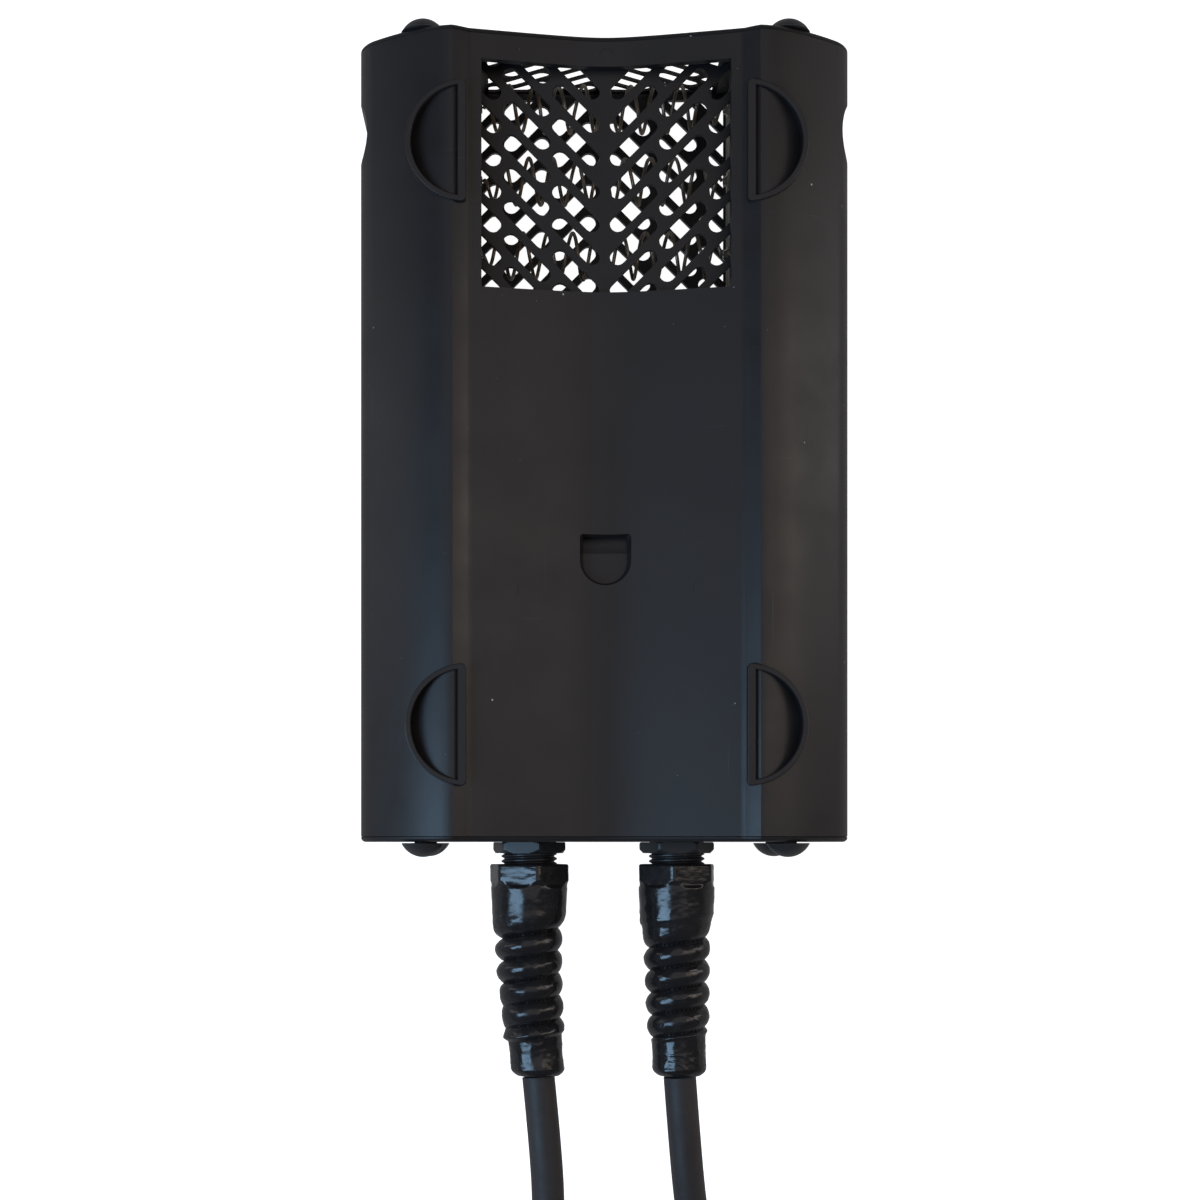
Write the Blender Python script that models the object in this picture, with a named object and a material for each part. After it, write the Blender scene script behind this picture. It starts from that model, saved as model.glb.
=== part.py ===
"""Vented open-coil resistor box with two gland-sealed rubber leads.

The box lies on its front face, back upwards.  X runs across the box, Y along
it (glands towards -Y), Z out of its back.  All lengths are in metres.
"""
import math

import bmesh
import bpy
from mathutils import Vector

MM = 0.001

# ---- driving dimensions (mm) -------------------------------------------------
Y_SHIFT = 32.25           # box centre to the middle of the whole length
HALF_W = 70.6             # half width of the box
HALF_L = 115.0            # half length of the box, caps included
CAP_T = 1.6               # thickness of an end cap
SPLIT_Z = 20.0            # parting line of the two shells
CH_BASE, CH_ROUND, CH_SLOPE = 43.22, 2.0, 0.235   # channel: shallow V with a rounded middle
Z_CREST = 55.0            # back surface at the rails
RING_TOP = 55.9           # top of the standoff rings
X_CREST = 43.3
X_CHAN = 38.7             # where the channel ends
WING_K = 0.080            # fall of the wings
WING_X = 66.5             # where the wing turns into the side wall
WALL = 2.6                # skin of the shells
SIDE_IN = 66.3            # inner face of the side walls
GAP = 0.3                 # assembly gap
WIN_X = 35.3              # half width of the vent window
WIN_Y0, WIN_Y1 = 41.9, 106.3
WIN_TOP = 112.3           # the front window runs on up to the top cap
WIN_XF = 38.6             # half width of the front window
GRILLE_T = 1.8
REAR_Z = 41.7             # outer face of the rear grille, a flat plate under the back skin
REAR_X, REAR_Y0, REAR_Y1 = 37.0, 39.6, 112.0
FRONT_Z = 4.2             # inner face of the front grille
SLOT_PITCH = 9.5          # spacing of the chevron slots along Y
SLOT_R = 2.25
SLOT_RUN = 9.3            # run of a slot in X and in Y
SLOT_COL = 14.2           # spacing of the slot columns in X
SLOT_IN = 3.65            # inner slot end, from the middle
REAR_PHASE = 90.9
FRONT_PHASE = 92.8
TOP_PITCH, TOP_RISE = 7.2, 0.77  # slots of the top cap: spacing up the cap, slope
TOP_PHASE = 29.8
TOP_SKIN = 0.8            # thinned cap around its slots
RING_X, RING_Y, RING_R = 39.5, 82.0, 17.2
RING_T, RING_BAR = 1.6, 2.4      # wall of the half rings, and their straight bar
HOOK_W, HOOK_Y0, HOOK_Y1 = 7.2, -41.8, -27.2
HOOK_FLOOR = 41.0
BUMP_X, BUMP_R, BUMP_H = 52.0, 6.25, 4.0
BUMP_Z = (11.5, 46.0)
GLAND_X, GLAND_Z = 21.75, 25.0
LEAD_R = 4.8              # rubber lead
LEAD_BORE = 5.25
COIL_ROWS = (102.0, 80.6, 58.6)
COIL_Z = 23.0
COIL_R = 6.6
COIL_PITCH = 7.2
WIRE_R = 0.55
HANK_Y = -330.0           # centre of the two stored coils of lead
HANK_R = 52.8             # mean radius
HANK_B = 9.6              # half of a coil's square section


def clear_scene():
    for ob in list(bpy.data.objects):
        bpy.data.objects.remove(ob, do_unlink=True)


clear_scene()
ROOT = bpy.data.objects.new("frame_origin", None)
bpy.context.scene.collection.objects.link(ROOT)
ROOT.location = (0.0, Y_SHIFT * MM, 0.0)
MATS = {}


def material(name, color, rough, metal=0.0):
    mat = MATS.get(name)
    if mat is None:
        mat = bpy.data.materials.new(name)
        mat.use_nodes = True
        bsdf = mat.node_tree.nodes["Principled BSDF"]
        bsdf.inputs["Base Color"].default_value = (*color, 1.0)
        bsdf.inputs["Roughness"].default_value = rough
        bsdf.inputs["Metallic"].default_value = metal
        MATS[name] = mat
    return mat


CASE = ("case_plastic", (0.030, 0.029, 0.031), 0.42)
GRILLE = ("grille_plastic", (0.026, 0.025, 0.027), 0.45)
BUMPER = ("bumper_rubber", (0.045, 0.045, 0.048), 0.55)
GLANDM = ("gland_polymer", (0.040, 0.040, 0.043), 0.40)
SLEEVE = ("shrink_sleeve", (0.028, 0.030, 0.036), 0.22)
RUBBER = ("lead_rubber", (0.036, 0.034, 0.035), 0.62)
WIREM = ("resistance_wire", (0.20, 0.17, 0.15), 0.45, 0.9)
STEEL = ("plated_steel", (0.62, 0.62, 0.60), 0.30, 1.0)
MICA = ("insulation_board", (0.36, 0.31, 0.25), 0.70)
CERAM = ("terminal_ceramic", (0.72, 0.69, 0.62), 0.50)
SHIELD = ("shield_sheet", (0.55, 0.56, 0.57), 0.35, 1.0)


def add(name, bm, mat, smooth=False, angle=35.0):
    """Turn a bmesh in millimetres into a named object under the frame."""
    bmesh.ops.recalc_face_normals(bm, faces=bm.faces)
    bmesh.ops.scale(bm, vec=(MM, MM, MM), verts=bm.verts)
    me = bpy.data.meshes.new(name)
    bm.to_mesh(me)
    bm.free()
    if smooth:
        me.shade_smooth()
        me.set_sharp_from_angle(angle=math.radians(angle))
    ob = bpy.data.objects.new(name, me)
    bpy.context.scene.collection.objects.link(ob)
    ob.parent = ROOT
    if mat is not None:
        me.materials.append(material(*mat))
    return ob


def add_cutter(name, bm):
    ob = add(name, bm, None)
    ob.hide_render = True
    ob.display_type = 'WIRE'
    return ob


def boolean(ob, cutter, op='DIFFERENCE'):
    m = ob.modifiers.new("bool_" + cutter.name, 'BOOLEAN')
    m.operation = op
    m.solver = 'EXACT'
    m.object = cutter


def extrude_poly(bm, pts, axis, a, b):
    """Prism of a closed outline along 'Y' (pts are x,z) or 'Z' (x,y) or 'X' (y,z)."""
    def at(p, h):
        if axis == 'Y':
            return (p[0], h, p[1])
        if axis == 'Z':
            return (p[0], p[1], h)
        return (h, p[0], p[1])
    vs = [bm.verts.new(at(p, a)) for p in pts]
    f = bm.faces.new(vs)
    r = bmesh.ops.extrude_face_region(bm, geom=[f])
    d = Vector(at((0, 0), b)) - Vector(at((0, 0), a))
    bmesh.ops.translate(bm, vec=d, verts=[v for v in r["geom"] if isinstance(v, bmesh.types.BMVert)])


def box(bm, x0, x1, y0, y1, z0, z1):
    extrude_poly(bm, [(x0, y0), (x1, y0), (x1, y1), (x0, y1)], 'Z', z0, z1)


def circle_pts(cx, cy, r, n, a0=0.0, a1=2 * math.pi, full=True):
    k = n if full else n + 1
    return [(cx + r * math.cos(a0 + (a1 - a0) * i / n), cy + r * math.sin(a0 + (a1 - a0) * i / n))
            for i in range(k)]


# ---- outline of the box ------------------------------------------------------
def back_z(x):
    """Height of the back surface."""
    u = abs(x)
    if u <= X_CHAN:
        return CH_BASE + math.sqrt(CH_ROUND ** 2 + (CH_SLOPE * u) ** 2)
    if u < X_CREST:
        t = (u - X_CHAN) / (X_CREST - X_CHAN)
        lo = back_z(X_CHAN)
        return lo + (Z_CREST - lo) * (1.25 * t - 0.25 * t * t)
    return Z_CREST - WING_K * (u - X_CREST) ** 1.6


def back_xs():
    half = [X_CREST + (WING_X - X_CREST) * i / 7 for i in range(7, 0, -1)]
    half += [X_CREST - (X_CREST - X_CHAN) * i / 4 for i in range(0, 4)]
    chan = [X_CHAN * i / 8 for i in range(8, 0, -1)]
    half += chan
    return [-x for x in half] + [0.0] + list(reversed(half))


def back_outer(z_low):
    pts = [(-HALF_W, z_low), (-HALF_W, 35.2), (-70.1, 37.4), (-68.7, 40.3)]
    pts += [(x, back_z(x)) for x in back_xs()]
    pts += [(68.7, 40.3), (70.1, 37.4), (HALF_W, 35.2), (HALF_W, z_low)]
    return pts


def back_section():
    inner = [(SIDE_IN, SPLIT_Z + GAP / 2), (SIDE_IN, back_z(SIDE_IN) - WALL)]
    inner += [(x, back_z(x) - WALL) for x in reversed(back_xs()) if abs(x) < SIDE_IN - 1.0]
    inner += [(-SIDE_IN, back_z(SIDE_IN) - WALL), (-SIDE_IN, SPLIT_Z + GAP / 2)]
    return back_outer(SPLIT_Z + GAP / 2) + inner


FRONT_C = 5.5             # corner radius of the front


def front_outer(z_top):
    pts = [(HALF_W, z_top)]
    pts += circle_pts(HALF_W - FRONT_C, FRONT_C, FRONT_C, 5, 0.0, -math.pi / 2, False)
    pts += circle_pts(-HALF_W + FRONT_C, FRONT_C, FRONT_C, 5, -math.pi / 2, -math.pi, False)
    pts += [(-HALF_W, z_top)]
    return pts


def front_section():
    top = SPLIT_Z - GAP / 2
    return front_outer(top) + [(-SIDE_IN, top), (-SIDE_IN, 4.6), (-SIDE_IN + 2.0, WALL),
                               (SIDE_IN - 2.0, WALL), (SIDE_IN, 4.6), (SIDE_IN, top)]


# ---- chevron slots -----------------------------------------------------------
def clip(poly, inside, cut):
    out = []
    for i, p in enumerate(poly):
        q = poly[(i + 1) % len(poly)]
        if inside(p):
            out.append(p)
        if inside(p) != inside(q):
            out.append(cut(p, q))
    return out


def clip_box(poly, x0, x1, y0, y1):
    def mix(p, q, t):
        return (p[0] + (q[0] - p[0]) * t, p[1] + (q[1] - p[1]) * t)
    for k, lim, sgn in ((0, x0, 1), (0, x1, -1), (1, y0, 1), (1, y1, -1)):
        if not poly:
            break
        poly = clip(poly, lambda p: (p[k] - lim) * sgn >= 0,
                    lambda p, q: mix(p, q, (lim - p[k]) / (q[k] - p[k])))
    return poly


def stadium(ax, ay, bx, by, r, n=4):
    a = math.atan2(by - ay, bx - ax)
    pts = circle_pts(bx, by, r, n, a - math.pi / 2, a + math.pi / 2, False)
    pts += circle_pts(ax, ay, r, n, a + math.pi / 2, a + 3 * math.pi / 2, False)
    return pts


def area(poly):
    return abs(sum(p[0] * q[1] - q[0] * p[1] for p, q in zip(poly, poly[1:] + poly[:1]))) / 2


def chevron(bm, phase, rise, pitch, lim, axis, z0, z1):
    """Cutters for the slots of a grille; rise > 0 climbs outwards, < 0 falls.

    lim is the box (x0, x1, y0, y1) the slots are kept in.
    """
    for side in (-1, 1):
        for col in range(3):
            for k in range(-12, 20):
                xi = SLOT_IN + SLOT_COL * col
                yi = phase + rise * xi - pitch * k
                if rise in (-1, 1):
                    yi = phase + rise * SLOT_COL * col - pitch * k
                poly = stadium(side * xi, yi, side * (xi + SLOT_RUN), yi + rise * SLOT_RUN, SLOT_R, 3)
                poly = clip_box(poly, *lim)
                if len(poly) > 2 and area(poly) > 9.0:
                    extrude_poly(bm, poly, axis, z0, z1)


# ---- shells ------------------------------------------------------------------
def make_back_shell():
    bm = bmesh.new()
    extrude_poly(bm, back_section(), 'Y', -HALF_L + CAP_T + GAP, HALF_L - CAP_T - GAP)
    ob = add("back_shell", bm, CASE)
    # standoff half rings on the rails and the pocket boss behind the hook slot
    bm = bmesh.new()
    for sx in (-1, 1):
        for sy in (-1, 1):
            cy = sy * RING_Y
            rc = 1.4                          # corners of the straight bar
            ring = circle_pts(0.0, 0.0, RING_R, 16, -math.pi / 2 + 0.09, math.pi / 2 - 0.09, False)
            ring += circle_pts(rc, RING_R - rc, rc, 3, math.pi / 2, math.pi, False)
            ring += circle_pts(rc, -RING_R + rc, rc, 3, math.pi, 3 * math.pi / 2, False)
            r_in = RING_R - RING_T
            lim = math.acos(RING_BAR / r_in)
            hole = circle_pts(0.0, 0.0, r_in, 14, -lim, lim, False)
            outer = [(sx * (RING_X + p[0]), cy + p[1]) for p in ring]
            inner = [(sx * (RING_X + p[0]), cy + p[1]) for p in hole]
            n = len(outer)
            base, top = 49.0, RING_TOP
            ov = [[bm.verts.new((p[0], p[1], z)) for p in outer] for z in (base, top)]
            iv = [[bm.verts.new((p[0], p[1], z)) for p in inner] for z in (base, top)]
            m = len(inner)
            for i in range(n):
                j = (i + 1) % n
                bm.faces.new((ov[0][i], ov[0][j], ov[1][j], ov[1][i]))
            for i in range(m):
                j = (i + 1) % m
                bm.faces.new((iv[0][j], iv[0][i], iv[1][i], iv[1][j]))
            for lev in (0, 1):
                edges = [bm.edges.get((ov[lev][i], ov[lev][(i + 1) % n])) for i in range(n)]
                edges += [bm.edges.get((iv[lev][i], iv[lev][(i + 1) % m])) for i in range(m)]
                bmesh.ops.triangle_fill(bm, edges=edges, use_beauty=True)
    box(bm, -10.2, 10.2, -46.5, -17.5, 38.2, 45.0)
    rings = add_cutter("back_rings", bm)
    boolean(ob, rings, 'UNION')
    # window, hook slot with its undercut, side scallops
    bm = bmesh.new()
    box(bm, -WIN_X, WIN_X, WIN_Y0, WIN_Y1, 36.0, 60.0)
    cut = [(-HOOK_W, HOOK_Y1), (-HOOK_W, HOOK_Y0 + HOOK_W)]
    cut += circle_pts(0.0, HOOK_Y0 + HOOK_W, HOOK_W, 10, math.pi, 2 * math.pi, False)[1:-1]
    cut += [(HOOK_W, HOOK_Y0 + HOOK_W), (HOOK_W, HOOK_Y1)]
    extrude_poly(bm, cut, 'Z', HOOK_FLOOR, 60.0)
    boolean(ob, add_cutter("back_cuts", bm))
    bm = bmesh.new()
    box(bm, -HOOK_W, HOOK_W, HOOK_Y1 - 1.0, -21.0, HOOK_FLOOR, 44.2)
    boolean(ob, add_cutter("hook_undercut", bm))
    bm = bmesh.new()
    for sx in (-1, 1):
        extrude_poly(bm, circle_pts(sx * (HALF_W + 16.4), 89.8, 18.6, 32), 'Z', -5.0, 60.0)
    boolean(ob, add_cutter("side_scallops", bm))
    return ob


def make_front_shell():
    bm = bmesh.new()
    extrude_poly(bm, front_section(), 'Y', -HALF_L + CAP_T + GAP, HALF_L - CAP_T - GAP)
    ob = add("front_shell", bm, CASE)
    bm = bmesh.new()
    box(bm, -WIN_XF, WIN_XF, WIN_Y0, WIN_TOP, -5.0, 10.0)
    boolean(ob, add_cutter("front_window", bm))
    boolean(ob, bpy.data.objects["side_scallops"])
    return ob


def make_grilles():
    e = 0.35
    # rear grille: a flat plate lying under the back skin, wider than the window
    bm = bmesh.new()
    box(bm, -REAR_X, REAR_X, REAR_Y0, REAR_Y1, REAR_Z - GRILLE_T, REAR_Z)
    rear = add("rear_grille", bm, GRILLE)
    bm = bmesh.new()
    chevron(bm, REAR_PHASE, 1, SLOT_PITCH, (-35.9, 35.9, 42.2, 110.8), 'Z', 30.0, 56.0)
    boolean(rear, add_cutter("rear_slots", bm))
    bm = bmesh.new()
    box(bm, -(WIN_XF - e), WIN_XF - e, WIN_Y0 + e, WIN_TOP - e, FRONT_Z - GRILLE_T, FRONT_Z)
    front = add("front_grille", bm, GRILLE)
    bm = bmesh.new()
    chevron(bm, FRONT_PHASE, -1, SLOT_PITCH, (-37.5, 37.5, WIN_Y0 + 1.3, WIN_TOP - 1.2), 'Z', -4.0, 9.0)
    boolean(front, add_cutter("front_slots", bm))


def outline():
    pts = back_outer(SPLIT_Z)
    return pts + front_outer(SPLIT_Z)[1:-1]


def make_caps():
    for name, y0, y1 in (("top_cap", HALF_L - CAP_T, HALF_L), ("bottom_cap", -HALF_L, -HALF_L + CAP_T)):
        bm = bmesh.new()
        extrude_poly(bm, outline(), 'Y', y0, y1)
        ob = add(name, bm, CASE)
        bm = bmesh.new()
        for sx in (-1, 1):
            for z in BUMP_Z:
                extrude_poly(bm, circle_pts(sx * BUMP_X, z, 2.8, 12), 'Y', y0 - 2, y1 + 2)
            if name == "bottom_cap":
                extrude_poly(bm, circle_pts(sx * GLAND_X, GLAND_Z, 8.5, 24), 'Y', y0 - 2, y1 + 2)
        if name == "top_cap":
            # slots like the front grille's, through a thinned part of the cap
            chevron(bm, TOP_PHASE, -TOP_RISE, TOP_PITCH, (-34.1, 34.1, 2.6, 33.4), 'Y', y0 - 2, y1 + 2)
            thin = bmesh.new()
            box(thin, -35.3, 35.3, y0 - 2, y1 - TOP_SKIN, 1.8, 34.6)
            boolean(ob, add_cutter("top_pocket", thin))
        boolean(ob, add_cutter(name + "_holes", bm))


# ---- turned and lofted pieces along Y ----------------------------------------
def hex_r(theta, r):
    """Radius of a hexagon with corners at +-X, circumradius r."""
    a = theta % (math.pi / 3) - math.pi / 6
    return r * math.cos(math.pi / 6) / math.cos(a)


def bend_x(y, side):
    """Sideways set of a boot and its lead below the gland."""
    far = 2.7 if side < 0 else 0.9
    t = (-142.0 - y) / 42.0
    return far * max(0.0, t) ** 1.6 if t < 1.0 else far + (t - 1.0) * 3.2


def ring_y(name, rows, side, mat, n=18, cx=0.0, cz=GLAND_Z, smooth=True):
    """Open sleeve along Y.  rows: (y, outer radius or function, bore)."""
    bm = bmesh.new()
    outer, inner = [], []
    for y, ro, ri in rows:
        dx = cx + (bend_x(y, side) if side else 0.0)
        o, q = [], []
        for i in range(n):
            th = 2 * math.pi * i / n
            r = ro(th, y) if callable(ro) else ro
            o.append(bm.verts.new((dx + r * math.cos(th), y, cz + r * math.sin(th))))
            q.append(bm.verts.new((dx + ri * math.cos(th), y, cz + ri * math.sin(th))))
        outer.append(o)
        inner.append(q)
    k = len(rows)
    for a in range(k - 1):
        for i in range(n):
            j = (i + 1) % n
            bm.faces.new((outer[a][i], outer[a][j], outer[a + 1][j], outer[a + 1][i]))
            bm.faces.new((inner[a][j], inner[a][i], inner[a + 1][i], inner[a + 1][j]))
    for a in (0, k - 1):
        for i in range(n):
            j = (i + 1) % n
            bm.faces.new((outer[a][i], outer[a][j], inner[a][j], inner[a][i]))
    return add(name, bm, mat, smooth)


def make_glands():
    for tag, side in (("left", -1), ("right", 1)):
        cx = side * GLAND_X
        hexo = lambda r: (lambda th, y: hex_r(th, r))
        ring_y("lock_nut_" + tag, [(-108.6, hexo(11.0), 8.5), (-112.9, hexo(11.0), 8.5)], 0, GLANDM, 24, cx, smooth=False)
        ring_y("base_nut_" + tag, [(-115.3, hexo(11.1), 8.5), (-117.6, hexo(11.1), 8.5), (-118.3, hexo(10.3), 8.5)],
               0, GLANDM, 24, cx, smooth=False)
        rows = [(-106.0, 8.1, LEAD_BORE), (-118.6, 8.1, LEAD_BORE), (-119.2, 8.2, LEAD_BORE), (-119.8, 7.5, LEAD_BORE),
                (-120.4, 8.2, LEAD_BORE), (-121.0, 7.5, LEAD_BORE), (-128.0, 7.5, LEAD_BORE)]
        ring_y("gland_tube_" + tag, rows, 0, GLANDM, 18, cx)
        rows = [(-121.7, 9.9, 7.9), (-127.0, 9.9, 7.9), (-128.3, 9.3, 7.9), (-128.6, 9.2, LEAD_BORE), (-136.0, 8.4, LEAD_BORE),
                (-140.2, 7.4, LEAD_BORE)]
        ring_y("gland_cap_" + tag, rows, 0, GLANDM, 18, cx)

        def blend(rh, rc, w):
            return lambda th, y: hex_r(th, rh) * w + rc * (1 - w)
        rows = [(-121.5, blend(11.3, 11.0, 0.8), 10.2), (-127.1, blend(11.4, 11.2, 0.9), 10.2),
                (-130.0, blend(11.2, 10.9, 0.3), 9.7), (-134.5, 10.6, 9.1), (-138.5, 10.0, 8.7), (-141.0, 9.4, 8.2)]
        ring_y("shrink_sleeve_" + tag, rows, 0, SLEEVE, 18, cx)
        y0, y1, pitch = -141.3, -172.5, 6.6
        yc = -146.8 if side < 0 else -149.5
        n = 15
        rows = []
        for i in range(n):
            t = i / (n - 1)
            y = y0 + (y1 - y0) * t
            base = 9.45 + (8.55 - 9.45) * t
            rows.append((y, (lambda b: (lambda th, yy: b + 0.55 * math.cos(2 * math.pi * (yy - yc) / pitch + th - math.pi)))(base), LEAD_BORE))
        ring_y("bend_guard_" + tag, rows, side, SLEEVE, 12, cx)
        rows = [(-172.9, 7.4, LEAD_BORE), (-174.0, 8.2, LEAD_BORE), (-182.4, 8.3, LEAD_BORE), (-183.8, 7.6, LEAD_BORE)]
        ring_y("end_ring_" + tag, rows, side, SLEEVE, 18, cx)


def smooth_path(ctrl, n):
    """Points along a Catmull-Rom curve through ctrl."""
    p = [Vector(c) for c in ctrl]
    p = [p[0] * 2 - p[1]] + p + [p[-1] * 2 - p[-2]]
    dense = []
    for i in range(1, len(p) - 2):
        for s in range(24):
            t = s / 24
            a, b, c, d = p[i - 1], p[i], p[i + 1], p[i + 2]
            dense.append(0.5 * ((2 * b) + (c - a) * t + (2 * a - 5 * b + 4 * c - d) * t * t
                                + (3 * b - a - 3 * c + d) * t ** 3))
    dense.append(p[-2])
    cum = [0.0]
    for a, b in zip(dense, dense[1:]):
        cum.append(cum[-1] + (b - a).length)
    out = []
    for k in range(n):
        s = cum[-1] * k / (n - 1)
        j = max(i for i in range(len(cum)) if cum[i] <= s + 1e-9)
        if j >= len(dense) - 1:
            out.append(dense[-1])
        else:
            u = (s - cum[j]) / (cum[j + 1] - cum[j])
            out.append(dense[j].lerp(dense[j + 1], u))
    return out


def tube(name, pts, r, mat, res=2):
    cu = bpy.data.curves.new(name, 'CURVE')
    cu.dimensions = '3D'
    cu.bevel_depth = r * MM
    cu.bevel_resolution = res
    cu.use_fill_caps = True
    cu.render_resolution_u = 0
    sp = cu.splines.new('POLY')
    sp.points.add(len(pts) - 1)
    for q, p in zip(sp.points, pts):
        q.co = (p[0] * MM, p[1] * MM, p[2] * MM, 1.0)
    ob = bpy.data.objects.new(name, cu)
    bpy.context.scene.collection.objects.link(ob)
    ob.parent = ROOT
    cu.materials.append(material(*mat))
    return ob


def make_bumpers():
    for ty, sy in (("top", 1), ("bottom", -1)):
        for tx, sx in (("left", -1), ("right", 1)):
            for tz, z in (("front", BUMP_Z[0]), ("rear", BUMP_Z[1])):
                bm = bmesh.new()
                # half profile (radius, height above the cap), stem through the cap
                R = (BUMP_R ** 2 + BUMP_H ** 2) / (2 * BUMP_H)
                prof = [(0.0, -3.6), (2.5, -3.6), (2.5, 0.3), (BUMP_R, 0.3)]
                for i in range(1, 4):
                    a = math.asin(min(1.0, BUMP_R / R)) * (1 - i / 4)
                    prof.append((R * math.sin(a), 0.3 + BUMP_H - R * (1 - math.cos(a))))
                prof.append((0.0, 0.3 + BUMP_H))
                vs = [bm.verts.new((sx * BUMP_X + r, sy * (HALF_L + h), z)) for r, h in prof]
                es = [bm.edges.new((a, b)) for a, b in zip(vs, vs[1:])]
                bmesh.ops.spin(bm, geom=vs + es, cent=(sx * BUMP_X, 0, z), axis=(0, 1, 0),
                               angle=2 * math.pi, steps=12, use_merge=True)
                bmesh.ops.remove_doubles(bm, verts=bm.verts, dist=1e-4)
                add("end_bumper_%s_%s_%s" % (ty, tx, tz), bm, BUMPER, True, 40)


def cyl(name, axis, c, r, a, b, mat, n=16, smooth=True):
    bm = bmesh.new()
    extrude_poly(bm, circle_pts(c[0], c[1], r, n), axis, a, b)
    return add(name, bm, mat, smooth)


def make_element():
    for tag, s in (("left", -1), ("right", 1)):
        bm = bmesh.new()
        box(bm, *sorted((s * 38.5, s * 39.9)), 40.0, 112.4, 4.6, 40.0)
        ob = add("element_plate_" + tag, bm, MICA)
        bm = bmesh.new()
        for y in COIL_ROWS:
            extrude_poly(bm, circle_pts(y, COIL_Z, 2.8, 12), 'X', s * 36.0, s * 41.0)
        boolean(ob, add_cutter("element_holes_" + tag, bm))
        for i, y in enumerate(COIL_ROWS):
            cyl("ferrule_%s_%d" % (tag, i + 1), 'X', (y, COIL_Z), 2.5, s * 35.6, s * 43.6, STEEL)
    for i, y in enumerate(COIL_ROWS):
        x0, x1 = -35.2, 35.2
        turns = (x1 - x0) / COIL_PITCH
        steps = int(round(turns * 9))
        pts = []
        for k in range(steps + 1):
            t = k / steps
            e = min(t, 1 - t) * turns / 0.6
            r = COIL_R * (1.0 if e >= 1 else math.sin(e * math.pi / 2))
            a = 2 * math.pi * turns * t + i * 1.3
            pts.append((x0 + (x1 - x0) * t, y + r * math.cos(a), COIL_Z + r * math.sin(a)))
        tube("resistance_coil_%d" % (i + 1), pts, WIRE_R, WIREM, 0)
    bm = bmesh.new()
    box(bm, -45.2, -43.9, COIL_ROWS[1] - 3.5, COIL_ROWS[0] + 3.5, COIL_Z - 3.2, COIL_Z + 3.2)
    add("series_link_left", bm, STEEL)
    bm = bmesh.new()
    box(bm, 43.9, 45.2, COIL_ROWS[2] - 3.5, COIL_ROWS[1] + 3.5, COIL_Z - 3.2, COIL_Z + 3.2)
    add("series_link_right", bm, STEEL)


def make_inside():
    bm = bmesh.new()
    box(bm, -58.0, 58.0, 36.0, 37.2, 3.0, 42.1)
    add("heat_shield", bm, SHIELD)
    bm = bmesh.new()
    box(bm, -26.0, 26.0, -14.0, 8.0, 3.0, 19.0)
    add("terminal_block", bm, CERAM)
    for tag, s in (("left", -1), ("right", 1)):
        cyl("terminal_screw_" + tag, 'Z', (s * 14.0, -3.0), 3.6, 19.3, 22.0, STEEL, 16)
    cyl("thermal_cutout", 'Y', (0.0, 22.0), 8.0, 27.5, 35.7, STEEL, 24)
    # single-core jumpers from the element's two free ends to the terminals
    tube("jumper_left", smooth_path([(-44.0, COIL_ROWS[2], COIL_Z), (-50.0, COIL_ROWS[2] - 2, COIL_Z - 1),
                                     (-61.5, 46.0, 20.0), (-61.5, 30.0, 17.0), (-46.0, 6.0, 12.0),
                                     (-26.5, -2.0, 11.0)], 22), 1.2, RUBBER, 1)
    tube("jumper_right", smooth_path([(44.0, COIL_ROWS[0], COIL_Z), (50.0, COIL_ROWS[0] - 2, COIL_Z - 1),
                                      (61.5, 84.0, 20.0), (61.5, 40.0, 18.0), (61.0, 26.0, 16.0),
                                      (46.0, 6.0, 12.0), (26.5, -2.0, 11.0)], 28), 1.2, RUBBER, 1)
    for tag, s in (("left", -1), ("right", 1)):
        pts = [(s * GLAND_X, -18.0 - 20.0 * i, GLAND_Z) for i in range(0, 7)]
        pts += [(s * GLAND_X, -139.0, GLAND_Z)]
        k = 7
        pts += [(s * GLAND_X + bend_x(y, s), y, GLAND_Z) for y in
                [-142.0 - (183.5 - 142.0) * i / (k - 1) for i in range(k)]]
        tube("lead_inner_" + tag, pts, LEAD_R, RUBBER, 2)


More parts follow.
